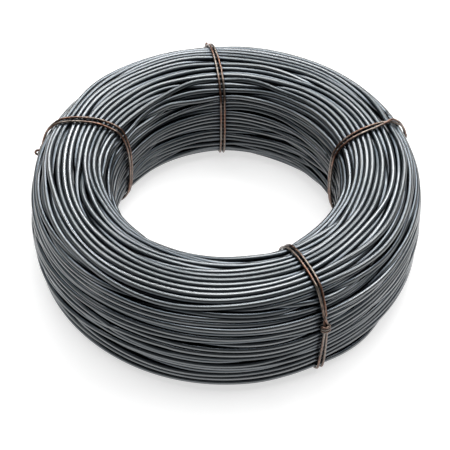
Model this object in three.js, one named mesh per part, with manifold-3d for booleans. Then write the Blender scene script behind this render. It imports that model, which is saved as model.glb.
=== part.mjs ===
// A coil of drawn steel wire, lying flat and held by four doubled tie wires.
// Units are millimetres and degrees. +Z is up, and the origin is on the coil's axis at floor level.

import * as THREE from 'three';
import { mergeVertices } from 'three/addons/utils/BufferGeometryUtils.js';
import Module from 'manifold-3d';

const wasm = await Module();
wasm.setup();

// Coil
const wireDiameter = 5.5;
const turnSpacing = 6.2; // along the outline of the coil's section
const turnFlat = 2.6; // width of the crest that stands for the top of one round wire
const boreRadius = 115;
const coilRadius = 200;
const coilHeight = 116;
const bellyHeight = 30; // where the outer wall is widest
const throatHeight = 84; // where the bore is narrowest
const settleDepth = 1.2; // how far the lowest turns settle into one level

// The power of each corner of the section: 2 is an ellipse, and more is squarer
const shoulderPower = 3.8;
const heelPower = 4.3;
const boreShoulderPower = 2.3;
const boreHeelPower = 4.3;

// Ties
const tieDiameter = 2.5;
const strandGap = 1.3; // between the two strands of a tie
const seatClearance = 0.6; // between a tie and the turns it holds
const floorClearance = 0.2; // between a tie and the floor
const drawDepth = 0.6; // how far a tie draws the turns in
const sinkStartAngle = 6; // how steeply the outline faces down where a tie begins to sink in
const sinkEndAngle = 64; // and where it clears the floor
const rightKnotHeight = 60; // from the floor to the knot, on the outer wall
const backKnotHeight = 91;
const leftKnotHeight = 65;
const frontKnotHeight = 70;
const twistGap = 0.2; // between the strands where they are twisted together
const twistPitch = 17; // length of one full twist
const spreadTwists = 2; // full twists in the length over which the strands come together
const endGap = 0.5; // between the two ends of a strand, under the knot
const wrapTurns = 2.5; // turns of the cut end wound round both strands
const wrapClearance = 0.3; // between neighbouring turns of that end
const eyeRadius = 3.2; // to the middle of the wire

// Facets
const turnFacetAngle = 13.5; // round the coil
const tieFacetAngle = 13; // the flat that carries one tie
const strandSides = 5;
const wrapSides = 8; // steps in one turn of the cut end
const eyeSides = 12;
const chordError = 0.25; // how far a straight step of a tie may cut a bend
const longestStep = 20;
const twistStep = 3;
const outlineSamples = 1500;
const weldDistance = 1e-4;

// Azimuth and slant are the tie's place on the coil: the slant is how far it leads at the outer wall.
// The knot lies on the outer wall at its height, and the twist runs up from it.
const ties = [
  { name: 'tie_right', azimuth: 16.5, slant: 2.3, knotHeight: rightKnotHeight, twists: 1, hasEye: false },
  { name: 'tie_back', azimuth: 94.1, slant: 2.2, knotHeight: backKnotHeight, twists: 0.5, hasEye: true },
  { name: 'tie_left', azimuth: 159.5, slant: 4.8, knotHeight: leftKnotHeight, twists: 0.5, hasEye: true },
  { name: 'tie_front', azimuth: 297.2, slant: -0.4, knotHeight: frontKnotHeight, twists: 1.5, hasEye: false },
];

// Worked out from the dimensions above
const crownRadius = (boreRadius + coilRadius) / 2;
const halfWidth = (coilRadius - boreRadius) / 2;
const tieRadius = tieDiameter / 2;
const strandOffset = (tieDiameter + strandGap) / 2;
const twistRadius = (tieDiameter + twistGap) / 2;
const tieLift = tieRadius + seatClearance;
const floorDrawDepth = tieDiameter + seatClearance + floorClearance;
const valleyDepth = wireDiameter / 2 - Math.sqrt((wireDiameter / 2) ** 2 - (turnFlat / 2) ** 2)
  + wireDiameter / 4;
const halfTieFacet = THREE.MathUtils.degToRad(tieFacetAngle / 2);
const sinkStart = THREE.MathUtils.degToRad(sinkStartAngle);
const sinkEnd = THREE.MathUtils.degToRad(sinkEndAngle);

// The coil's section: four quarters of superellipses that meet at the crown, the throat, the floor
// and the belly. A point's x is its radius from the coil's axis and its y its height.
class SectionOutline extends THREE.Curve {
  constructor() {
    super();
    this.arcLengthDivisions = outlineSamples;
  }

  getPoint(t, target = new THREE.Vector2()) {
    const angle = 2 * Math.PI * t - Math.PI / 2;
    const across = Math.cos(angle);
    const up = Math.sin(angle);
    const isOuter = across >= 0;
    const isUpper = up >= 0;
    const middle = isOuter ? bellyHeight : throatHeight;
    const reach = isUpper ? coilHeight + settleDepth - middle : middle;
    const upperPower = isOuter ? shoulderPower : boreShoulderPower;
    const lowerPower = isOuter ? heelPower : boreHeelPower;
    const power = isUpper ? upperPower : lowerPower;
    const sum = Math.abs(across / halfWidth) ** power + Math.abs(up / reach) ** power;
    const distance = sum ** (-1 / power);
    const height = middle + distance * up - settleDepth;
    return target.set(crownRadius + distance * across, Math.max(0, height));
  }
}

const outline = new SectionOutline();
const outlineLength = outline.getLength();

// How far a tie draws the turns in: little, but enough under the coil to lie clear of the floor.
function waistDepth(place) {
  const facingDown = outline.getTangentAt(((place % 1) + 1) % 1).x;
  const share = THREE.MathUtils.smoothstep(facingDown, Math.sin(sinkStart), Math.sin(sinkEnd));
  return THREE.MathUtils.lerp(drawDepth, floorDrawDepth, share);
}

// A point of the outline, moved straight out from it; a negative distance moves it in.
function outlineOffset(place, distance) {
  const at = ((place % 1) + 1) % 1;
  const point = outline.getPointAt(at);
  const tangent = outline.getTangentAt(at);
  return new THREE.Vector2(point.x + tangent.y * distance, point.y - tangent.x * distance);
}

// One ridge for each turn: a crest on the outline, or inset from it, and a valley on each side.
function turnProfile(insetAt) {
  const count = Math.round(outlineLength / turnSpacing);
  const halfFlat = turnFlat / 2 / outlineLength;
  const points = [];
  for (let turn = 0; turn < count; turn += 1) {
    const place = turn / count;
    const valley = place + 0.5 / count;
    points.push(outlineOffset(place - halfFlat, -insetAt(place - halfFlat)));
    points.push(outlineOffset(place + halfFlat, -insetAt(place + halfFlat)));
    points.push(outlineOffset(valley, -insetAt(valley) - valleyDepth));
  }
  points.push(points[0].clone());
  return points;
}

// Where the facets round the coil begin: one wide facet under each tie, and even ones between.
function coilStations() {
  const ordered = [...ties].sort((one, other) => one.azimuth - other.azimuth);
  const stations = [];
  ordered.forEach((tie, index) => {
    const next = ordered[(index + 1) % ordered.length];
    const turn = index + 1 < ordered.length ? 0 : 360;
    const start = tie.azimuth + tieFacetAngle / 2;
    const end = next.azimuth + turn - tieFacetAngle / 2;
    const count = Math.max(2, Math.round((end - start) / turnFacetAngle));
    for (let step = 0; step <= count; step += 1) {
      const isTied = step === 0 || step === count;
      stations.push({ azimuth: start + ((end - start) * step) / count, isTied });
    }
  });
  return stations;
}

// The turns as one turned solid, drawn in at each tie.
function coilGeometry() {
  const free = turnProfile(() => 0);
  const drawnIn = turnProfile(waistDepth);
  const stations = coilStations();
  const geometry = new THREE.LatheGeometry(free, stations.length);
  const position = geometry.attributes.position;
  for (let ring = 0; ring <= stations.length; ring += 1) {
    const station = stations[ring % stations.length];
    const profile = station.isTied ? drawnIn : free;
    const azimuth = THREE.MathUtils.degToRad(station.azimuth);
    profile.forEach((point, index) => {
      const x = point.x * Math.cos(azimuth);
      const y = point.x * Math.sin(azimuth);
      position.setXYZ(ring * profile.length + index, x, y, point.y);
    });
  }
  return geometry;
}

// Steps of one strand round the section, from just past the knot back to it. They are close where
// the outline bends and in the twist.
function strandSteps(tie, knotPlace, twistEnd) {
  const turned = (place, from) => outline.getTangentAt(place % 1).angleTo(outline.getTangentAt(from % 1));
  const steps = [knotPlace];
  let last = knotPlace;
  for (let sample = 1; sample < outlineSamples; sample += 1) {
    const place = knotPlace + sample / outlineSamples;
    const length = (place - last) * outlineLength;
    const sagitta = (length * turned(place, last)) / 8; // of a short arc: its length by its angle over 8
    const isTwisted = place <= twistEnd && length >= twistStep;
    if (sagitta >= chordError || length >= longestStep || isTwisted) {
      steps.push(place);
      last = place;
    }
  }
  return steps;
}

// A path through given points, whose steps are those points.
class PointPath extends THREE.Curve {
  constructor(points) {
    super();
    this.points = points;
  }

  getUtoTmapping(u) {
    return u;
  }

  getPoint(t, target = new THREE.Vector3()) {
    const along = t * (this.points.length - 1);
    const index = Math.min(Math.floor(along), this.points.length - 2);
    return target.lerpVectors(this.points[index], this.points[index + 1], along - index);
  }
}

function roundWire(points, sides) {
  const section = new THREE.Shape();
  for (let side = 0; side < sides; side += 1) {
    const angle = (2 * Math.PI * side) / sides;
    const x = tieRadius * Math.cos(angle);
    const y = tieRadius * Math.sin(angle);
    if (side === 0) {
      section.moveTo(x, y);
    } else {
      section.lineTo(x, y);
    }
  }
  section.closePath();
  const extrudePath = new PointPath(points);
  return new THREE.ExtrudeGeometry(section, { steps: points.length - 1, extrudePath });
}

// A point of a tie: a place on the outline, a lift off it and a shift along the coil's wall.
function tiePoint(tie, place, lift, shift) {
  const depth = waistDepth(place);
  const seat = outlineOffset(place, -depth);
  const lifted = outlineOffset(place, lift - depth);
  const x = seat.x * Math.cos(halfTieFacet) + lifted.x - seat.x;
  const lead = THREE.MathUtils.degToRad((tie.slant * (x - crownRadius)) / halfWidth);
  const y = x * Math.tan(lead) + shift;
  const point = new THREE.Vector3(x, y, lifted.y);
  return point.applyAxisAngle(new THREE.Vector3(0, 0, 1), THREE.MathUtils.degToRad(tie.azimuth));
}

// The place on the outer wall at a given height. The outline begins at the floor and goes up there.
function wallPlace(height) {
  let sample = 0;
  while (sample < outlineSamples && outline.getPointAt(sample / outlineSamples).y < height) {
    sample += 1;
  }
  return sample / outlineSamples;
}

function toManifold(geometry) {
  const bare = geometry.clone();
  bare.deleteAttribute('normal');
  bare.deleteAttribute('uv');
  const merged = mergeVertices(bare, weldDistance);
  const vertProperties = new Float32Array(merged.attributes.position.array);
  const triVerts = new Uint32Array(merged.index.array);
  return new wasm.Manifold(new wasm.Mesh({ numProp: 3, vertProperties, triVerts }));
}

function toGeometry(solid) {
  const mesh = solid.getMesh();
  const geometry = new THREE.BufferGeometry();
  geometry.setAttribute('position', new THREE.BufferAttribute(mesh.vertProperties, 3));
  geometry.setIndex(new THREE.BufferAttribute(mesh.triVerts, 1));
  geometry.computeVertexNormals();
  return geometry;
}

// One tie: two strands round the section, twisted together above the knot, with the cut end wound
// round both as the knot.
function tieGeometry(tie) {
  const knotPlace = wallPlace(tie.knotHeight);
  const wrapPitch = tieDiameter + wrapClearance;
  const wrapLength = wrapTurns * wrapPitch;
  const knotEnd = knotPlace + wrapLength / outlineLength;
  const twistEnd = knotEnd + (tie.twists * twistPitch) / outlineLength;
  const spreadLength = (spreadTwists * twistPitch) / outlineLength;
  const knotLift = tieLift + tieDiameter + seatClearance;
  // How far a place is into the twist, from 1 in the knot to 0 where the strands lie apart
  const closeness = (place) => {
    const past = Math.max(0, place - twistEnd);
    const before = Math.max(0, knotPlace + 1 - place);
    return Math.max(0, 1 - Math.min(past, before) / spreadLength);
  };
  const strandPoint = (place, side) => {
    const near = THREE.MathUtils.smoothstep(closeness(place), 0, 1);
    const twisted = Math.min(Math.max(place - knotEnd, 0), twistEnd - knotEnd);
    const angle = (2 * Math.PI * twisted * outlineLength) / twistPitch;
    const reach = side * THREE.MathUtils.lerp(strandOffset, twistRadius, near);
    const lift = THREE.MathUtils.lerp(tieLift, knotLift, near);
    return tiePoint(tie, place, lift + reach * Math.sin(angle), reach * Math.cos(angle));
  };
  const steps = strandSteps(tie, knotPlace, twistEnd);
  steps.push(knotPlace + 1 - endGap / outlineLength);
  const strands = [-1, 1].map((side) => {
    const points = steps.map((place) => strandPoint(place, side));
    return roundWire(points, strandSides);
  });
  const wrapPoints = [];
  for (let step = 0; step <= wrapSides * wrapTurns; step += 1) {
    const angle = (2 * Math.PI * step) / wrapSides;
    const place = knotPlace + ((step / wrapSides) * wrapPitch - wrapPitch / 2) / outlineLength;
    const shift = (twistRadius + tieDiameter - wrapClearance) * Math.cos(angle);
    const lift = knotLift + (tieDiameter - wrapClearance) * Math.sin(angle);
    wrapPoints.push(tiePoint(tie, place, lift, shift));
  }
  const pieces = [...strands, roundWire(wrapPoints, strandSides)];
  if (tie.hasEye) {
    pieces.push(eyeGeometry(tie, knotEnd, knotLift));
  }
  return toGeometry(pieces.map(toManifold).reduce((whole, piece) => whole.add(piece)));
}

// The eye that a doubled wire ends in, standing off the wall beside the knot.
function eyeGeometry(tie, place, lift) {
  const eye = new THREE.TorusGeometry(eyeRadius, tieRadius, strandSides, eyeSides);
  const middle = tiePoint(tie, place, lift + eyeRadius, 0);
  eye.rotateX(Math.PI / 2);
  eye.rotateZ(THREE.MathUtils.degToRad(tie.azimuth));
  eye.translate(middle.x, middle.y, middle.z);
  return eye;
}

const wireSteel = { color: 0x5a6268, roughness: 0.38, metalness: 0.9 };
const tieSteel = { color: 0x7a5547, roughness: 0.5, metalness: 0.8 };

const coil = new THREE.Group();

const wireCoil = new THREE.Mesh(coilGeometry(), new THREE.MeshStandardMaterial(wireSteel));
wireCoil.name = 'wire_coil';
coil.add(wireCoil);

for (const tie of ties) {
  const mesh = new THREE.Mesh(tieGeometry(tie), new THREE.MeshStandardMaterial(tieSteel));
  mesh.name = tie.name;
  coil.add(mesh);
}

export default coil;
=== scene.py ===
import math

import bpy
import numpy as np
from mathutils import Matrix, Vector


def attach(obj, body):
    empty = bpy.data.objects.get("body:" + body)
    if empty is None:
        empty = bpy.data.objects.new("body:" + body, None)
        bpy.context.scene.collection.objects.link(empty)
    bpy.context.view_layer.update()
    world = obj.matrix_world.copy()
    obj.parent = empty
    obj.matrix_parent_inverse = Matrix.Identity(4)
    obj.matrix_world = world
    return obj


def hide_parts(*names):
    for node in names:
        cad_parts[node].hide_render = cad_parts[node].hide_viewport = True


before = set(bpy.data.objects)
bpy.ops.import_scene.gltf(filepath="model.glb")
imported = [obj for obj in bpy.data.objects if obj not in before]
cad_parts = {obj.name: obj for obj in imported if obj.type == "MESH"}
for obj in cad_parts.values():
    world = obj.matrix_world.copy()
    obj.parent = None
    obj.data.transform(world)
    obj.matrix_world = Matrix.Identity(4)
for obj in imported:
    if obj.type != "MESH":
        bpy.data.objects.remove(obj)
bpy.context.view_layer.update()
mm = 0.001

# the coil: sizes in mm, angles in degrees round the coil (0 is +X, 90 is +Y)
coil = {
    "wire": 5.5,
    "boreRadius": 115.0,
    "outerRadius": 200.0,
    "height": 116.0,
    "bellyHeight": 30.0,  # where the outer wall stands out furthest
    "throatHeight": 84.0,  # where the bore is narrowest
    "settle": 1.2,  # the outline is drawn this much lower than it is, so that the foot is flat
    "shoulder": 3.8,  # powers of the four quarters of the section: 2 is round, more is squarer
    "heel": 4.3,
    "boreShoulder": 2.3,
    "boreHeel": 4.3,
    "outlinePoints": 2881,  # eight to a degree, and the first again
    "layerStep": 5.2,  # from one layer of turns in to the next
    "turnGaps": (0.98, 1.02, 1.05),  # pitch of the turns in wires: outer layer, second, the rest
    "stations": 180,  # points to a turn
    "startAzimuth": 24.0,
    "seed": 11,
}

# how the turns wander: mm, and degrees round the coil
winding = {
    "ownWidth": 55.0,  # each turn by itself: how slowly, how far sideways and how far in or out
    "ownWander": 2.2,
    "ownRise": 1.5,
    "waves": 4,  # each layer as a whole moves by a sum of so many waves
    "drift": 4.5,  # sideways, in up to 3 waves round the coil and 1 to 4 round the section
    "driftWaves": (3, (1, 4)),
    "swell": 1.0,  # in or out, the same way
    "swellWaves": (6, (4, 10)),
    "crossings": 20,  # outer turns that slide over their neighbours, and back after a span
    "crossSpan": (90.0, 220.0),
    "crossReach": (8.0, 18.0),
    "crossRamp": (60.0, 110.0),  # how slowly it slides over
    "crossLift": 3.0,
    "crossTop": 1.3,  # ramps from the slide to where it no longer rides on top
    "looseOut": 1.6,  # how far such a turn may stand out of the outline
    "sinkWidth": 35.0,  # where turns are held below the outline: how slowly and how far
    "sinkDepth": 4.0,
}

# how the turns are pressed together: wires, degrees round the coil, and shares of the work
packing = {
    "steps": 360,
    "lookFor": 1.4,  # how far apart two turns may be to be looked at
    "lookEvery": 10,  # steps
    "homePull": 0.03,  # back to where the turn was wound, for the first part of the work
    "homeUntil": 0.6,
    "bulge": 0.08,  # mm outwards in each step, as springy wire pushes
    "bulgeUntil": 0.8,
    "blur": 8.0,  # of each push along the wire, to each side
    "stride": 1.2,  # more than 1 gets there sooner
    "stiffness": 0.04,  # how much of its own blurred path the wire takes on in each step
    "printEvery": 60,
}

# the ties, from the right, against the clock seen from above: mm and degrees
ties = {
    "wire": 2.5,
    "sides": 12,
    "slack": 0.3,  # from a tie to the turns it lies on
    "rounding": 12.0,  # a bend is spread over so many degrees of its facing to each side
    "touching": 0.1,  # room between strands that lie together
    "twistPitch": 24.0,
    "wraps": 2.5,  # turns of the knot round both strands
    "wrapGap": 0.15,
    "eyeRadius": 3.0,
    "knotReach": 9.0,  # how far along a tie its knot, and the half turn of a crossing, are felt
    "crossReach": 12.0,  # and how far the strands lie close at a crossing
    "fineStep": 0.7,  # points along a strand, in the twist and so far past it, and elsewhere
    "finePast": 8.0,
    "coarseStep": 2.0,
    "endGap": 0.3,  # from a strand's end to the knot
    "pinchWidth": 5.0,  # degrees to each side over which a tie draws the coil in
    "pinchDepth": 0.6,
    "pinchFloor": 3.1,  # how far a tie under the coil keeps the turns off the floor
    # slant: how far a tie leads at the outer wall; gaps: between its strands; crossing: which way
    # the outline faces, in degrees up from level, where one strand goes over the other
    "places": {
        "tie_right": {"azimuth": 16.5, "slant": 2.3, "knotHeight": 60.0, "twists": 1.0,
                      "eye": False, "wallGap": 2.0, "crownGap": 2.6, "crossing": 72.0},
        "tie_back": {"azimuth": 94.1, "slant": 2.2, "knotHeight": 91.0, "twists": 0.5,
                     "eye": True, "wallGap": 1.5, "crownGap": 1.9, "crossing": None},
        "tie_left": {"azimuth": 159.5, "slant": 4.8, "knotHeight": 65.0, "twists": 0.5,
                     "eye": True, "wallGap": 1.2, "crownGap": 4.0, "crossing": None},
        "tie_front": {"azimuth": 297.2, "slant": -0.4, "knotHeight": 71.0, "twists": 0.5,
                      "eye": False, "wallGap": 2.4, "crownGap": 1.8, "crossing": None},
    },
}

crownRadius = (coil["outerRadius"] + coil["boreRadius"]) / 2
halfWidth = (coil["outerRadius"] - coil["boreRadius"]) / 2


def unit(vectors):
    return vectors / np.maximum(np.linalg.norm(vectors, axis=-1, keepdims=True), 1e-12)


def stationAzimuth():
    # degrees round the coil of each station of a turn
    return coil["startAzimuth"] + np.linspace(0, 360, coil["stations"], endpoint=False)


def awayFrom(azimuth):
    # degrees from each station to an azimuth, the short way round
    return (stationAzimuth() - azimuth + 180) % 360 - 180


def smoothNoise(rng, shape, width):
    # white noise blurred by a bell curve of the given width, scaled back to a spread of 1. It runs
    # on from the end of one turn to the start of the next
    reach = 4 * int(width)
    count = math.prod(shape)
    bell = np.exp(-0.5 * (np.arange(-reach, reach + 1) / width) ** 2)
    noise = rng.normal(size=count + 2 * reach)
    smooth = np.convolve(noise, bell / np.sqrt((bell ** 2).sum()), "same")
    return smooth[reach:reach + count].reshape(shape)


def waveField(rng, turned, around, waves):
    # a sum of slow waves over the coil, with a spread of 1: strength times sin(m turned + n around
    # + phase), where turned goes round the axis and around goes round the section
    most, lobes = waves
    field = np.zeros(np.broadcast(turned, around).shape)
    for _ in range(winding["waves"]):
        m, n = rng.integers(-most, most + 1), rng.integers(lobes[0], lobes[1] + 1)
        field += np.sin(m * turned + n * around + rng.uniform(0, 2 * np.pi)) * rng.normal()
    return field / math.sqrt(winding["waves"] / 2)


def sectionQuarter(across, up):
    # middle height, reach and power of the quarter of the section that each point is in
    outer = across >= 0
    upper = up >= 0
    middle = np.where(outer, coil["bellyHeight"], coil["throatHeight"])
    reach = np.where(upper, coil["height"] + coil["settle"] - middle, middle)
    powerAbove = np.where(outer, coil["shoulder"], coil["boreShoulder"])
    powerBelow = np.where(outer, coil["heel"], coil["boreHeel"])
    return middle, reach, np.where(upper, powerAbove, powerBelow)


def sectionLayer(inset):
    # the section's outline drawn in by inset, as points, outward normals and length along it, from
    # the belly up and over. Each quarter is a superellipse: |x/a|^n + |y/b|^n = 1 in polar form
    angle = np.linspace(0, 2 * np.pi, coil["outlinePoints"])
    across, up = np.cos(angle), np.sin(angle)
    middle, _, power = sectionQuarter(across, up)
    share = min(inset / halfWidth, 1)
    centre = middle * (1 - share) + coil["height"] / 2 * share
    reach = np.where(up >= 0, coil["height"] + coil["settle"] - inset - centre, centre - inset)
    out = np.abs(across / (halfWidth - inset)) ** power + np.abs(up / reach) ** power
    out = out ** (-1 / power)
    radius = crownRadius + out * across
    height = np.maximum(centre + out * up - coil["settle"], inset)
    points = np.stack([radius, height], -1)
    length = np.r_[0, np.cumsum(np.hypot(np.diff(radius), np.diff(height)))]
    slope = np.gradient(points, axis=0)
    return points, unit(np.stack([slope[:, 1], -slope[:, 0]], -1)), length


def keepInside(points, inset, pinch):
    # moves each point that is outside the drawn-in outline back to it, along the outline's slope:
    # with the gauge g = (|x/a|^n + |y/b|^n)^(1/n), by (g - 1) times its slope over the slope squared
    x = points[..., 0] - crownRadius
    middle = np.where(x >= 0, coil["bellyHeight"], coil["throatHeight"])
    y = points[..., 1] + coil["settle"] - middle
    middle, reach, power = sectionQuarter(x, y)
    drawnIn = inset + pinch * ties["pinchDepth"]
    a, b = halfWidth - drawnIn, reach - drawnIn
    ax, ay = np.abs(x) / a, np.abs(y) / b
    gauge = (ax ** power + ay ** power) ** (1 / power)
    slopeX = (ax / gauge) ** (power - 1) / a * np.sign(x)
    slopeY = (ay / gauge) ** (power - 1) / b * np.sign(y)
    over = np.maximum(gauge - 1, 0) / np.maximum(slopeX ** 2 + slopeY ** 2, 1e-9)
    points[..., 0] -= over * slopeX
    points[..., 1] -= over * slopeY
    points[..., 1] = np.maximum(points[..., 1], inset + pinch * ties["pinchFloor"])


def closePairs(turns, reach):
    # every two turns that are nearer than reach at the same station, as places in the flat list,
    # worked out a few stations at a time, to save memory
    stations = turns.shape[1]
    span = 30
    firsts, seconds = [], []
    for start in range(0, stations, span):
        block = np.ascontiguousarray(turns[:, start:start + span].transpose(1, 0, 2))
        gap = block[:, :, None] - block[:, None]
        station, one, other = np.nonzero((gap ** 2).sum(-1) < reach ** 2)
        keep = one < other
        firsts.append(one[keep] * stations + station[keep] + start)
        seconds.append(other[keep] * stations + station[keep] + start)
    return np.concatenate(firsts), np.concatenate(seconds)


def blurAlong(values, reach):
    # the mean of the values within reach along the wire, taken twice
    for _ in range(2):
        padded = np.pad(values, ((reach + 1, reach), (0, 0)), "edge")
        total = np.cumsum(padded, axis=0, dtype=np.float64)
        values = (total[2 * reach + 1:] - total[:-2 * reach - 1]) / (2 * reach + 1)
    return values


def windTurns(rng):
    # where each turn would lie if turns could share space: layer by layer from the core out, each
    # layer drifting by its own slow waves, and a few outer turns sliding over their neighbours
    stations, wire = coil["stations"], coil["wire"]
    layers = [sectionLayer(inset) for inset in np.arange(wire / 2, halfWidth - 1, coil["layerStep"])]
    gaps = [coil["turnGaps"][min(k, 2)] for k in range(len(layers))]
    counts = [int(round(length[-1] / (wire * gap))) for gap, (_, _, length) in zip(gaps, layers)]
    layerOf = np.concatenate([np.full(counts[k], k) for k in reversed(range(len(layers)))])
    count = len(layerOf)
    total = count * stations
    degree = stations / 360
    part = np.linspace(0, 1, stations, endpoint=False)[None, :]
    turned = 2 * np.pi * part

    own = smoothNoise(rng, (count, stations), winding["ownWidth"] * degree) * winding["ownWander"]
    lift = smoothNoise(rng, (count, stations), winding["ownWidth"] * degree) * winding["ownRise"]
    loose = np.zeros((count, stations))
    outerTurns = np.nonzero(layerOf == 0)[0]
    for turn in rng.choice(outerTurns[2:-2], winding["crossings"], replace=False):
        # over to one side half a span before the middle, back half a span after it, and on top there
        span, reach, ramp = (rng.uniform(*winding[key])
                             for key in ("crossSpan", "crossReach", "crossRamp"))
        away = np.arange(total) - (turn * stations + rng.uniform(0, stations))
        away = away.reshape(count, stations)
        span, ramp = span * degree, ramp * degree
        slide = np.tanh((away + span / 2) / ramp * 2) - np.tanh((away - span / 2) / ramp * 2)
        own += reach * rng.choice([-1, 1]) * 0.5 * slide
        onTop = np.clip(winding["crossTop"] - np.abs(np.abs(away) - span / 2) / ramp, 0, 1)
        lift += onTop * winding["crossLift"]
        loose = np.maximum(loose, onTop)

    home = np.zeros((count, stations, 2))
    outward = np.zeros((count, stations, 2))
    for layer, (points, normals, length) in enumerate(layers):
        rows = np.nonzero(layerOf == layer)[0]
        place = (np.arange(len(rows))[:, None] + part) / len(rows)
        around = 2 * np.pi * place
        shift = waveField(rng, turned, around, winding["driftWaves"]) * winding["drift"]
        along = (place * length[-1] + shift + own[rows]) % length[-1]
        lift[rows] += waveField(rng, turned, around, winding["swellWaves"]) * winding["swell"]
        # the last turn of a layer climbs to the next
        lift[rows[-1]] += coil["layerStep"] * np.clip(part[0] * 2 - 1, 0, 1) ** 2 * (layer > 0)
        for k in (0, 1):
            home[rows, :, k] = np.interp(along, length, points[:, k])
            outward[rows, :, k] = np.interp(along, length, normals[:, k])
    return home + outward * lift[..., None], outward, loose, layerOf


def packTurns():
    # relaxes the winding until turns share next to no space. Each station round the coil holds one
    # disc (radius, height) for each turn. Two discs that overlap push each other apart by half of it
    # each, discs outside the outline go back in, and every push is blurred along the wire, so turns
    # stay smooth
    rng = np.random.default_rng(coil["seed"])
    stations, wire = coil["stations"], coil["wire"]
    degree = stations / 360
    goal, outward, loose, layerOf = windTurns(rng)
    count = len(goal)
    total = count * stations
    pinch = sum(np.exp(-0.5 * (awayFrom(place["azimuth"]) / ties["pinchWidth"]) ** 2)
                for place in ties["places"].values())[None, :]
    sunk = smoothNoise(rng, (count, stations), winding["sinkWidth"] * degree) * winding["sinkDepth"]
    held = 1 - np.minimum(pinch, 1)
    inset = wire / 2 + (np.maximum(sunk, 0) - loose * winding["looseOut"]) * held
    blur = int(round(packing["blur"] * degree))

    turns = goal.copy()
    flat = turns.reshape(-1, 2)
    for step in range(packing["steps"]):
        done = step / packing["steps"]
        if step % packing["lookEvery"] == 0:
            one, other = closePairs(turns.astype(np.float32), packing["lookFor"] * wire)
        gap = flat[one] - flat[other]
        distance = np.sqrt((gap ** 2).sum(1)) + 1e-6
        overlap = np.maximum(wire - distance, 0)
        push = gap * (overlap * 0.5 / distance)[:, None]
        moved = np.stack([np.bincount(one, push[:, k], total)
                          - np.bincount(other, push[:, k], total) for k in (0, 1)], -1)
        pull = packing["homePull"] * max(0, 1 - done / packing["homeUntil"])
        moved += pull * (goal.reshape(-1, 2) - flat)
        moved += outward.reshape(-1, 2) * packing["bulge"] * max(0, 1 - done / packing["bulgeUntil"])
        kept = turns.copy()
        keepInside(kept, inset, pinch)
        moved += (kept - turns).reshape(-1, 2)
        flat += packing["stride"] * blurAlong(moved, blur)
        flat += packing["stiffness"] * (blurAlong(flat, blur) - flat)
        if step % packing["printEvery"] == 0:
            print("  packing", step, "mean overlap", round(float(overlap.mean()), 3))
    turns[..., 1] = np.maximum(turns[..., 1], wire / 2 + pinch * ties["pinchFloor"])
    print("  overlaps over 0.4 mm:", round(float((overlap > 0.4).sum() / total), 4),
          "worst", round(float(overlap.max()), 2))
    return turns, layerOf


def srgb(text):
    # sRGB hex to linear colour
    value = np.array([int(text[k:k + 2], 16) for k in (1, 3, 5)]) / 255
    linear = np.where(value <= 0.04045, value / 12.92, ((value + 0.055) / 1.055) ** 2.4)
    return (*linear.tolist(), 1.0)


def addNode(tree, kind, settings=None, inputs=None, links=None, stops=None):
    # one node with its settings, socket values, the nodes or sockets linked into it and the colours
    # of a ramp. A Mix node's sockets go by number: 0 the factor, 2 and 3 two numbers, 6 and 7 two
    # colours, and output 2 the mixed colour
    node = tree.nodes.new(kind)
    for name, value in (settings or {}).items():
        setattr(node, name, value)
    for name, value in (inputs or {}).items():
        node.inputs[name].default_value = value
    for name, source in (links or {}).items():
        tree.links.new(getattr(source, "outputs", [source])[0], node.inputs[name])
    for k, (place, text) in enumerate(stops or []):
        element = node.color_ramp.elements[k] if k < 2 else node.color_ramp.elements.new(place)
        element.position = place
        element.color = srgb(text)
    return node


def newMaterial(name):
    material = bpy.data.materials.new(name)
    material.use_nodes = True
    tree = material.node_tree
    tree.nodes.clear()
    return material, tree


# the coil's finish: lengths in mm. Open is how much of the surroundings a place sees, from 0 to 1
coilFinish = {
    "lineLength": 250.0,
    "lineSpacing": 1.33,  # round the wire; real draw lines are a tenth of this, too fine to show
    "lineDepth": 0.2,
    "toneLength": 435.0,
    "toneShare": 0.55,  # of the tone of a length of wire, beside its lines, in the shade
    "tones": [(0.38, "#3d4245"), (0.5, "#666a6c"), (0.62, "#828486")],
    "flank": "#69747e",
    "rubbedOpen": (0.7, 0.98),  # from flank to rubbed crest
    # near-black painted shade where turns touch, and more in the bore, mixed in by how little of the
    # surroundings a place sees
    "shadeColour": "#0b1118",
    "shadeReach": 10.0,
    "unshadedOpen": (0.48, 0.94),  # from painted shade to none
    "boreShadeLevel": 0.75,  # painted shade in the bore: how much of its colour the bore keeps beside the rest
    "boreShadeRadii": (116.0, 138.0),  # from the coil's axis, where that painted shade ends
    "roughShades": (0.36, 0.64),  # the shades of worn and of bright lengths
    "roughness": (0.4, 0.24),
}


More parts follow.
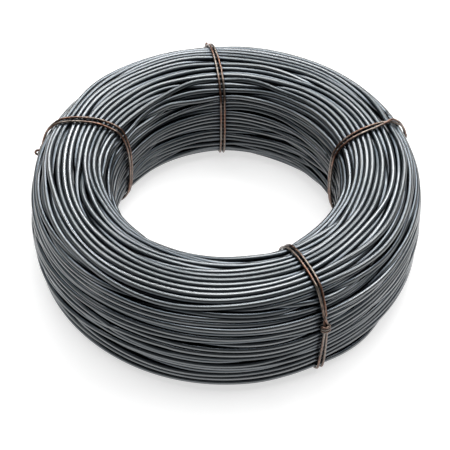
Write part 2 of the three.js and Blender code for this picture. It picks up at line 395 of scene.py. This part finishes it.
def coilSteel():
    # drawn steel wire with a thin blue-grey oxide and a thin coat of oil: crests rubbed to a neutral
    # bright grey, bluer flanks, near-black painted shade where turns touch, more painted shade in
    # the bore, a tone of its own to each length of wire, fine draw lines, and a highlight that runs
    # across the wire as brushed metal's does
    material, tree = newMaterial("drawn_oxidised_steel")
    finish = coilFinish
    around = math.pi * coil["wire"] / finish["lineSpacing"]
    uv = addNode(tree, "ShaderNodeUVMap", {"uv_map": "strand"})
    lineMap = addNode(tree, "ShaderNodeMapping",
                      inputs={"Scale": (1 / (finish["lineLength"] * mm), around, 1)},
                      links={"Vector": uv})
    lines = addNode(tree, "ShaderNodeTexNoise", inputs={"Scale": 1.0, "Detail": 3.0},
                    links={"Vector": lineMap})
    toneMap = addNode(tree, "ShaderNodeMapping",
                      inputs={"Scale": (1 / (finish["toneLength"] * mm), 0, 1)},
                      links={"Vector": uv})
    tone = addNode(tree, "ShaderNodeTexNoise", inputs={"Scale": 1.0, "Detail": 1.0},
                   links={"Vector": toneMap})
    shade = addNode(tree, "ShaderNodeMix", inputs={0: finish["toneShare"]},
                    links={2: lines, 3: tone})
    bright = addNode(tree, "ShaderNodeValToRGB", links={"Fac": shade}, stops=finish["tones"])

    # painted shade: the colour goes to near-black where neighbouring turns hide the surroundings
    cover = addNode(tree, "ShaderNodeAmbientOcclusion", {"samples": 8},
                    {"Distance": finish["shadeReach"] * mm})
    low, high = finish["rubbedOpen"]
    rubbed = addNode(tree, "ShaderNodeMapRange", inputs={"From Min": low, "From Max": high},
                     links={"Value": cover.outputs["AO"]})
    metal = addNode(tree, "ShaderNodeMix", {"data_type": "RGBA"}, {6: srgb(finish["flank"])},
                    {0: rubbed, 7: bright})
    low, high = finish["unshadedOpen"]
    unshaded = addNode(tree, "ShaderNodeMapRange", inputs={"From Min": low, "From Max": high},
                    links={"Value": cover.outputs["AO"]})
    # more painted shade in the bore, fading out away from the axis
    place = addNode(tree, "ShaderNodeTexCoord")
    level = addNode(tree, "ShaderNodeMapping", inputs={"Scale": (1, 1, 0)},
                    links={"Vector": place.outputs["Object"]})
    fromAxis = addNode(tree, "ShaderNodeVectorMath", {"operation": "LENGTH"}, links={0: level})
    bore, outside = (radius * mm for radius in finish["boreShadeRadii"])
    boreShade = addNode(tree, "ShaderNodeMapRange",
                   inputs={"From Min": bore, "From Max": outside, "To Min": finish["boreShadeLevel"]},
                   links={"Value": fromAxis.outputs["Value"]})
    unshadedWithBore = addNode(tree, "ShaderNodeMath", {"operation": "MULTIPLY"}, links={0: unshaded, 1: boreShade})
    colour = addNode(tree, "ShaderNodeMix", {"data_type": "RGBA"}, {6: srgb(finish["shadeColour"])},
                     {0: unshadedWithBore, 7: metal.outputs[2]})

    low, high = finish["roughShades"]
    dull, polished = finish["roughness"]
    rough = addNode(tree, "ShaderNodeMapRange",
                    inputs={"From Min": low, "From Max": high, "To Min": dull, "To Max": polished},
                    links={"Value": shade})
    bump = addNode(tree, "ShaderNodeBump",
                   inputs={"Strength": 0.12, "Distance": finish["lineDepth"] * mm},
                   links={"Height": lines})
    tangent = addNode(tree, "ShaderNodeTangent", {"direction_type": "UV_MAP", "uv_map": "strand"})
    shader = addNode(tree, "ShaderNodeBsdfPrincipled",
                     inputs={"Metallic": 0.9, "Anisotropic": 0.7, "Coat Weight": 0.6,
                             "Coat Roughness": 0.1},
                     links={"Base Color": colour.outputs[2], "Roughness": rough, "Normal": bump,
                            "Tangent": tangent})
    addNode(tree, "ShaderNodeOutputMaterial", links={"Surface": shader})
    return material


# the ties' finish: lengths in mm
tieFinish = {
    "barePatch": 45.0,
    "bareAround": 0.6,  # patches round the wire
    "bareShades": (0.42, 0.56),
    "speckLength": 3.3,  # real flecks of scale are a tenth of this, too fine to show
    "speckWidth": 2.0,
    "scale": [(0.3, "#3d2a21"), (0.5, "#6c4a3a"), (0.7, "#9b745f")],
    "bare": [(0.3, "#4e4741"), (0.5, "#7a7067"), (0.7, "#9d9287")],
    "scaleDepth": 0.2,
    # painted shade where strands touch, mixed in by how little of the surroundings a place sees
    "shadeColour": "#120d0b",
    "shadeReach": 4.0,
    "unshadedOpen": (0.46, 0.94),
    "roughness": (0.24, 0.42),
}


def tieSteel():
    # annealed tie wire: coppery brown scale with bare grey lengths, a bright line along the top of
    # each strand and painted shade where strands touch
    material, tree = newMaterial("annealed_tie_wire")
    finish = tieFinish
    around = math.pi * ties["wire"] / finish["speckWidth"]
    uv = addNode(tree, "ShaderNodeUVMap", {"uv_map": "strand"})
    lengths = addNode(tree, "ShaderNodeMapping",
                      inputs={"Scale": (1 / (finish["barePatch"] * mm), finish["bareAround"], 1)},
                      links={"Vector": uv})
    worn = addNode(tree, "ShaderNodeTexNoise", inputs={"Scale": 1.0, "Detail": 2.0},
                   links={"Vector": lengths})
    specks = addNode(tree, "ShaderNodeMapping",
                     inputs={"Scale": (1 / (finish["speckLength"] * mm), around, 1)},
                     links={"Vector": uv})
    patch = addNode(tree, "ShaderNodeTexNoise", inputs={"Scale": 1.0, "Detail": 4.0},
                    links={"Vector": specks})
    scale = addNode(tree, "ShaderNodeValToRGB", links={"Fac": patch}, stops=finish["scale"])
    bare = addNode(tree, "ShaderNodeValToRGB", links={"Fac": patch}, stops=finish["bare"])
    low, high = finish["bareShades"]
    share = addNode(tree, "ShaderNodeMapRange", inputs={"From Min": low, "From Max": high},
                    links={"Value": worn})
    wire = addNode(tree, "ShaderNodeMix", {"data_type": "RGBA"}, links={0: share, 6: scale, 7: bare})

    # painted shade: the colour goes to near-black where strands hide the surroundings
    cover = addNode(tree, "ShaderNodeAmbientOcclusion", {"samples": 8},
                    {"Distance": finish["shadeReach"] * mm})
    low, high = finish["unshadedOpen"]
    unshaded = addNode(tree, "ShaderNodeMapRange", inputs={"From Min": low, "From Max": high},
                    links={"Value": cover.outputs["AO"]})
    colour = addNode(tree, "ShaderNodeMix", {"data_type": "RGBA"}, {6: srgb(finish["shadeColour"])},
                     {0: unshaded, 7: wire.outputs[2]})

    low, high = finish["roughness"]
    rough = addNode(tree, "ShaderNodeMapRange", inputs={"To Min": low, "To Max": high},
                    links={"Value": patch})
    bump = addNode(tree, "ShaderNodeBump",
                   inputs={"Strength": 0.2, "Distance": finish["scaleDepth"] * mm},
                   links={"Height": patch})
    tangent = addNode(tree, "ShaderNodeTangent", {"direction_type": "UV_MAP", "uv_map": "strand"})
    shader = addNode(tree, "ShaderNodeBsdfPrincipled",
                     inputs={"Metallic": 0.85, "Anisotropic": 0.5, "Coat Weight": 0.5,
                             "Coat Roughness": 0.1},
                     links={"Base Color": colour.outputs[2], "Roughness": rough, "Normal": bump,
                            "Tangent": tangent})
    addNode(tree, "ShaderNodeOutputMaterial", links={"Surface": shader})
    return material


def sweepWire(path, radius, sides, outward):
    # a ring of points round each point of the path: path + r (cos v side + sin v top), in metres.
    # side is across the path and outward, top across both, and v starts at the underside
    tangent = unit(np.gradient(path, axis=0))
    side = unit(np.cross(tangent, outward))
    top = np.cross(side, tangent)
    turn = 2 * np.pi * (np.arange(sides) / sides - 0.25)
    ring = np.cos(turn)[None, :, None] * side[:, None] + np.sin(turn)[None, :, None] * top[:, None]
    length = np.r_[0, np.cumsum(np.linalg.norm(np.diff(path, axis=0), axis=1))]
    return path[:, None] + radius * ring, length


def wireObject(name, wires, radius, material):
    # joins swept wires into one mesh: quads along each wire and a fan of triangles over each end.
    # strand is the map that the materials read: metres along the wire, each wire starting further
    # on, and 0 to 1 round it. OFBake lays the wires out flat in equal lengths, one row over another,
    # as many as make it about square, with the ends in the margins
    total = sum(length[-1] for _, length in wires)
    strip = math.sqrt(total * 2 * math.pi * radius)
    startStep = 3.7  # metres from the start of one wire to the next in strand, so that they differ
    sideMargin, rowMargin = 0.01, 0.06
    endCorner = np.array([[0.001, 0.5], [0.004, 0.2], [0.004, 0.8]])  # in the left margin
    farMargin = 0.994  # and this much further right for the other end
    points, quads, fans = [], [], []
    maps = {"strand": ([], []), "OFBake": ([], [])}
    base, rows = 0, 0
    for number, (rings, length) in enumerate(wires):
        steps, sides = rings.shape[:2]
        points.append(np.concatenate([rings.reshape(-1, 3), rings[[0, -1]].mean(1)]))
        i, j = np.meshgrid(np.arange(steps - 1), np.arange(sides), indexing="ij")
        k = (j + 1) % sides
        quads.append(base + np.stack([i * sides + j, (i + 1) * sides + j,
                                      (i + 1) * sides + k, i * sides + k], -1))
        u = np.stack([length[i], length[i + 1], length[i + 1], length[i]], -1)
        v = np.stack([j, j, j + 1, j + 1], -1) / sides
        row = (length[i] // strip)[..., None]
        flatU = (u - row * strip) / (strip + np.diff(length).max())
        flatV = rows + row + rowMargin + (1 - 2 * rowMargin) * v
        maps["strand"][0].append(np.stack([u + startStep * number, v], -1))
        maps["OFBake"][0].append(np.stack([sideMargin + (1 - 2 * sideMargin) * flatU, flatV], -1))
        j = np.arange(sides)
        k = (j + 1) % sides
        last = (steps - 1) * sides
        start = np.stack([np.full(sides, steps * sides), j, k], -1)
        finish = np.stack([np.full(sides, steps * sides + 1), last + k, last + j], -1)
        fans.append(base + np.concatenate([start, finish]))
        lastRow = rows + int(row.max())
        maps["strand"][1].append(np.tile(endCorner, (2 * sides, 1)))
        maps["OFBake"][1].append(np.tile(endCorner + [0, rows], (sides, 1)))
        maps["OFBake"][1].append(np.tile(endCorner + [farMargin, lastRow], (sides, 1)))
        base += steps * sides + 2
        rows = lastRow + 1

    points, fans = np.concatenate(points), np.concatenate(fans)
    quads = np.concatenate([part.reshape(-1, 4) for part in quads])
    faceCount = len(quads) + len(fans)
    mesh = bpy.data.meshes.new(name)
    mesh.vertices.add(len(points))
    mesh.vertices.foreach_set("co", points.astype(np.float32).ravel())
    corners = np.concatenate([quads.ravel(), fans.ravel()])
    mesh.loops.add(len(corners))
    mesh.loops.foreach_set("vertex_index", corners.astype(np.int32))
    mesh.polygons.add(faceCount)
    starts = np.concatenate([np.arange(len(quads)) * 4, len(quads) * 4 + np.arange(len(fans)) * 3])
    mesh.polygons.foreach_set("loop_start", starts.astype(np.int32))
    mesh.update(calc_edges=True)
    mesh.polygons.foreach_set("use_smooth", np.arange(faceCount) < len(quads))
    for title, (along, ends) in maps.items():
        uv = np.concatenate([part.reshape(-1, 2) for part in along + ends])
        if title == "OFBake":
            uv[:, 1] /= rows
        mesh.uv_layers.new(name=title).data.foreach_set("uv", uv.astype(np.float32).ravel())
    mesh.validate()
    mesh.materials.append(material)
    piece = bpy.data.objects.new(name, mesh)
    bpy.context.scene.collection.objects.link(piece)
    return piece


def spacePath(section, azimuth):
    # (radius, height) in mm at an azimuth in radians, as points in metres
    radius, height = section[..., 0] * mm, section[..., 1] * mm
    return np.stack([radius * np.cos(azimuth), radius * np.sin(azimuth), height], -1)


# named runs of the wire: layer, share of that layer's turns, sides, and every how many stations
runs = {
    "wall_turns": {"layer": 0, "share": (0.0, 0.22), "sides": 12, "stride": 1},
    "crown_turns": {"layer": 0, "share": (0.22, 0.52), "sides": 12, "stride": 1},
    "bore_turns": {"layer": 0, "share": (0.52, 0.80), "sides": 12, "stride": 1},
    "base_turns": {"layer": 0, "share": (0.80, 1.0), "sides": 12, "stride": 1},
    "second_turns": {"layer": 1, "share": (0.0, 1.0), "sides": 9, "stride": 1},
    "third_turns": {"layer": 2, "share": (0.0, 1.0), "sides": 6, "stride": 2},
    "core_turns": {"layer": 3, "share": (0.0, 1.0), "sides": 5, "stride": 3},
}


def coilPieces(turns, layerOf, material):
    # each run is a round wire swept along its turns, end to end, with its rings upright
    stations = coil["stations"]
    flat = turns.reshape(-1, 2)
    azimuth = np.radians(np.tile(stationAzimuth(), len(turns)))
    for name, run in runs.items():
        chosen = np.nonzero(np.minimum(layerOf, 3) == run["layer"])[0]
        first, last = (chosen[0] + int(round(share * len(chosen))) for share in run["share"])
        index = np.arange(first * stations, min(last * stations + 1, len(flat)), run["stride"])
        path = spacePath(flat[index], azimuth[index])
        radius = coil["wire"] / 2 * mm
        wire = sweepWire(path, radius, run["sides"], np.array([0.0, 0.0, 1.0]))
        piece = wireObject(name, [wire], radius, material)
        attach(piece, "root")
        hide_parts("wire_coil")
        print(name, "turns", last - first, "faces", len(piece.data.polygons))


def tieLoop(turns, azimuth):
    # a taut loop round the turns that a tie crosses, at the four nearest stations. In each direction
    # n from their middle c it clears the furthest disc, at h(n), by the two radii; h is blurred,
    # which rounds the corners as stiff wire does, and the loop is c + h n + h' t, with t across n.
    # It lies on the floor, not in it
    near = np.argsort(np.abs(awayFrom(azimuth)))[:4]
    discs = turns[:, near].reshape(-1, 2)
    count = 1440  # four to a degree
    angle = np.linspace(-np.pi, np.pi, count, endpoint=False)
    facing = np.stack([np.cos(angle), np.sin(angle)], -1)
    across = np.stack([-facing[:, 1], facing[:, 0]], -1)
    middle = discs.mean(0)
    furthest = (facing @ (discs - middle).T).max(1)
    furthest = furthest + (coil["wire"] + ties["wire"]) / 2 + ties["slack"]
    reach = int(ties["rounding"] / 360 * count)
    bell = np.hanning(2 * reach + 3)[1:-1]
    padded = np.r_[furthest[-reach:], furthest, furthest[:reach]]
    furthest = np.convolve(padded, bell / bell.sum(), "valid")
    slope = (np.roll(furthest, -1) - np.roll(furthest, 1)) / (angle[2] - angle[0])
    loop = middle + furthest[:, None] * facing + slope[:, None] * across
    loop[:, 1] = np.maximum(loop[:, 1], ties["wire"] / 2)
    loop = np.concatenate([loop, loop[:1]])
    facing = np.concatenate([facing, facing[:1]])
    length = np.r_[0, np.cumsum(np.linalg.norm(np.diff(loop, axis=0), axis=1))]
    return loop, facing, length


def tiePiece(name, place, turns, material):
    # two strands side by side round the loop, from the knot up the wall, over and back to the knot.
    # Each one's lift off the loop is c + r sin a and its shift along the coil r cos a: r is half of
    # the gap between them, and half a wire where they are twisted, and a turns once for each twist
    wire = ties["wire"]
    radius = wire / 2 * mm
    together = (wire + ties["touching"]) / 2
    loop, facing, length = tieLoop(turns, place["azimuth"])
    total = length[-1]
    outer = (loop[:, 0] > crownRadius) & (facing[:, 0] > 0)
    knot = np.interp(place["knotHeight"], loop[outer, 1], length[outer])
    wrapPitch = wire + ties["wrapGap"]
    knotEnd = knot + ties["wraps"] * wrapPitch
    twistEnd = knotEnd + place["twists"] * ties["twistPitch"]
    lastEnd = knot + total

    def at(along, lift, shift):
        # a point of the tie: distance along the loop, lift off it and shift along the wall
        along = np.asarray(along) % total
        seat = np.stack([np.interp(along, length, loop[:, k]) for k in (0, 1)], -1)
        face = unit(np.stack([np.interp(along, length, facing[:, k]) for k in (0, 1)], -1))
        section = seat + face * lift[..., None]
        lead = np.radians(place["slant"]) * (section[:, 0] - crownRadius) / halfWidth
        lead = math.radians(place["azimuth"]) + lead
        across = np.stack([-np.sin(lead), np.cos(lead), np.zeros_like(lead)], -1)
        outwards = np.stack([face[:, 0] * np.cos(lead), face[:, 0] * np.sin(lead), face[:, 1]], -1)
        return spacePath(section, lead) + across * shift[..., None] * mm, outwards

    fineEnd, coarseEnd = twistEnd + ties["finePast"], lastEnd - ties["finePast"]
    along = np.r_[np.arange(knot, fineEnd, ties["fineStep"]),
                  np.arange(fineEnd, coarseEnd, ties["coarseStep"]),
                  np.arange(coarseEnd, lastEnd - ties["endGap"], ties["fineStep"])]
    past = np.maximum(0, along - twistEnd)
    before = np.maximum(0, lastEnd - along)
    near = np.clip(1 - np.minimum(past, before) / (2 * ties["twistPitch"]), 0, 1)
    near = near * near * (3 - 2 * near)
    angle = 2 * np.pi * np.clip(along - knotEnd, 0, twistEnd - knotEnd) / ties["twistPitch"]
    upwards = np.clip(np.interp(along % total, length, facing[:, 1]), 0, 1)
    apart = (wire + place["wallGap"] + (place["crownGap"] - place["wallGap"]) * upwards) / 2
    fromKnot = np.minimum(np.maximum(0, along - knotEnd), before)
    atKnot = np.exp(-(fromKnot / ties["knotReach"]) ** 2)
    if place["crossing"] is not None:
        # half a twist more, where one strand goes over the other
        turnedBy = np.degrees(np.arctan2(facing[outer, 1], facing[outer, 0]))
        crossed = np.interp(place["crossing"], turnedBy, length[outer])
        angle = angle + np.pi * (0.5 + 0.5 * np.tanh((along - crossed) / ties["knotReach"]))
        near = np.maximum(near, np.exp(-((along - crossed) / ties["crossReach"]) ** 2))
    closeLift = together + ties["touching"]
    centreLift = near * closeLift + atKnot * (wire - closeLift)
    wires = []
    for sideways in (-1, 1):
        reach = sideways * (apart + (together - apart) * near)
        path, outwards = at(along, centreLift + reach * np.sin(angle), reach * np.cos(angle))
        wires.append(sweepWire(path, radius, ties["sides"], outwards))

    # the knot: one wire wound round both strands, an oval helix that clears them
    clear = wire + ties["touching"]
    turned = np.arange(0, ties["wraps"] * 2 * np.pi + 0.01, np.pi / 10)
    wrapped = knot + turned / (2 * np.pi) * wrapPitch
    path, _ = at(wrapped, wire + clear * np.sin(turned), (together + clear) * np.cos(turned))
    middle, _ = at(wrapped, np.full_like(turned, wire), np.zeros_like(turned))
    wires.append(sweepWire(path, radius, ties["sides"], unit(path - middle)))
    if place["eye"]:
        # a ring that stands on the knot's end, across the coil
        eye = ties["eyeRadius"]
        turned = np.linspace(0, 2 * np.pi, 41)
        level, away = np.zeros_like(turned), np.full_like(turned, knotEnd)
        path, _ = at(knotEnd + eye * np.sin(turned), wire + eye - eye * np.cos(turned), level)
        middle, _ = at(away, np.full_like(turned, wire + eye), level)
        wires.append(sweepWire(path, radius, ties["sides"], unit(path - middle)))
    piece = wireObject(name + "_wire", wires, radius, material)
    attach(piece, "root")
    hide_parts(name)
    print(name, "faces", len(piece.data.polygons))


# the stage, in metres and watts: a white floor, a strip of soft light overhead, one behind and one
# down each side
stage = {
    "floorSize": 20.0,
    "floorColour": "#c4c4c4",
    "floorGlow": 0.64,  # seen by the camera and in reflections only
    "skyFill": 0.13,
    "lamps": [
        {"name": "topLamp", "place": (0.12, 0.35, 1.7), "size": (0.55, 1.7), "power": 21.5},
        {"name": "backLamp", "place": (0.1, 1.25, 1.25), "size": (1.9, 0.2), "power": 17.0},
        {"name": "leftLamp", "place": (-0.9, 0.5, 1.5), "size": (1.4, 0.2), "power": 8.0},
        {"name": "rightLamp", "place": (1.0, 0.4, 1.5), "size": (1.4, 0.25), "power": 13.5},
    ],
}


def makeStage():
    size = stage["floorSize"] / 2
    mesh = bpy.data.meshes.new("floor")
    corners = [(-size, -size, 0), (size, -size, 0), (size, size, 0), (-size, size, 0)]
    mesh.from_pydata(corners, [], [(0, 1, 2, 3)])
    material, tree = newMaterial("white_paper")
    diffuse = addNode(tree, "ShaderNodeBsdfDiffuse", inputs={"Color": srgb(stage["floorColour"])})
    path = addNode(tree, "ShaderNodeLightPath").outputs
    seen = addNode(tree, "ShaderNodeMath", {"operation": "MAXIMUM"},
                   links={0: path["Is Camera Ray"], 1: path["Is Glossy Ray"]})
    seen = addNode(tree, "ShaderNodeMath", {"operation": "MAXIMUM"},
                   links={0: seen, 1: path["Is Transmission Ray"]})
    strength = addNode(tree, "ShaderNodeMath", {"operation": "MULTIPLY"},
                       {1: stage["floorGlow"]}, {0: seen})
    glow = addNode(tree, "ShaderNodeEmission", inputs={"Color": (1, 1, 1, 1)},
                   links={"Strength": strength})
    both = addNode(tree, "ShaderNodeAddShader", links={0: diffuse, 1: glow})
    addNode(tree, "ShaderNodeOutputMaterial", links={"Surface": both})
    mesh.materials.append(material)
    floor = bpy.data.objects.new("floor", mesh)
    bpy.context.scene.collection.objects.link(floor)

    world = bpy.data.worlds.new("studio")
    bpy.context.scene.world = world
    world.use_nodes = True
    tree = world.node_tree
    tree.nodes.clear()
    sky = addNode(tree, "ShaderNodeBackground",
                  inputs={"Color": (1, 1, 1, 1), "Strength": stage["skyFill"]})
    addNode(tree, "ShaderNodeOutputWorld", links={"Surface": sky})

    for lamp in stage["lamps"]:
        data = bpy.data.lights.new(lamp["name"], "AREA")
        data.shape = "RECTANGLE"
        data.size, data.size_y = lamp["size"]
        data.energy = lamp["power"]
        light = bpy.data.objects.new(lamp["name"], data)
        light.location = lamp["place"]
        light.rotation_euler = (-Vector(lamp["place"])).to_track_quat("-Z", "Y").to_euler()
        bpy.context.scene.collection.objects.link(light)


# the camera: mm and degrees; it stands off from target and looks at aim
camera = {
    "aim": (-1.1, -30.8, 50.0),
    "target": (0.0, 0.0, 50.0),
    "distance": 1150.0,
    "elevation": 46.3,
    "lens": 88.1,
    "sensor": 36.0,
}


def makeCamera():
    data = bpy.data.cameras.new("camera")
    data.lens = camera["lens"]
    data.sensor_width = camera["sensor"]
    eye = bpy.data.objects.new("camera", data)
    tilt = math.radians(camera["elevation"])
    standOff = Vector((0, -math.cos(tilt), math.sin(tilt)))
    place = Vector(camera["target"]) + camera["distance"] * standOff
    eye.location = place * mm
    eye.rotation_euler = (Vector(camera["aim"]) - place).to_track_quat("-Z", "Y").to_euler()
    bpy.context.scene.collection.objects.link(eye)
    bpy.context.scene.camera = eye


makeStage()
makeCamera()
bpy.context.scene.view_settings.view_transform = "Standard"
print("stage and camera made")

turns, layerOf = packTurns()
print("turns packed:", len(turns))
coilPieces(turns, layerOf, coilSteel())
tieMaterial = tieSteel()
for name, place in ties["places"].items():
    tiePiece(name, place, turns, tieMaterial)
